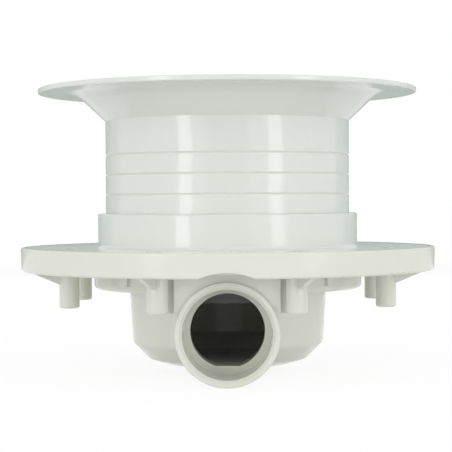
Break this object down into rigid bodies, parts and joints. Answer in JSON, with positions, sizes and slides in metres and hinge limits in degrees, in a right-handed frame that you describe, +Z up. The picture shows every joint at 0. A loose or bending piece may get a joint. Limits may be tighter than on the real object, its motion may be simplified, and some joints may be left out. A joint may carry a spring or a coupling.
{
  "type": "floor drain",
  "caption": "White plastic floor drain with a side pipe socket, dished clamp flange and a height-adjustable raising piece with wide rim and round grate.",
  "frame": {"origin": "on the drain axis, in the plane of the flange skirt's lower edge that the flange stands on", "axes": "+Z up along the drain axis, -Y along the outlet"},
  "size_m": [0.2499, 0.25, 0.1711],
  "materials": {
    "cream_plastic": "moulded satin gloss, warm white",
    "white_plastic": "moulded gloss, cool white",
    "grey_plastic": "moulded satin, dark grey",
    "rubber": "matt black",
    "steel": "bright stainless"
  },
  "bodies": {
    "drain": {"drain_body": "cream_plastic", "flange_gasket": "rubber", "clamp_ring": "white_plastic", "clamp_screws": "steel", "neck_seal": "rubber", "trap_seal": "rubber", "trap_pot": "grey_plastic", "trap_bell": "grey_plastic"},
    "raising": {"raising_piece": "white_plastic", "grate": "white_plastic"}
  },
  "joints": [
    {"name": "height_adjust", "type": "slide", "parent": "drain", "child": "raising", "axis": [0, 0, 1], "range_m": [0, 0.012]}
  ]
}
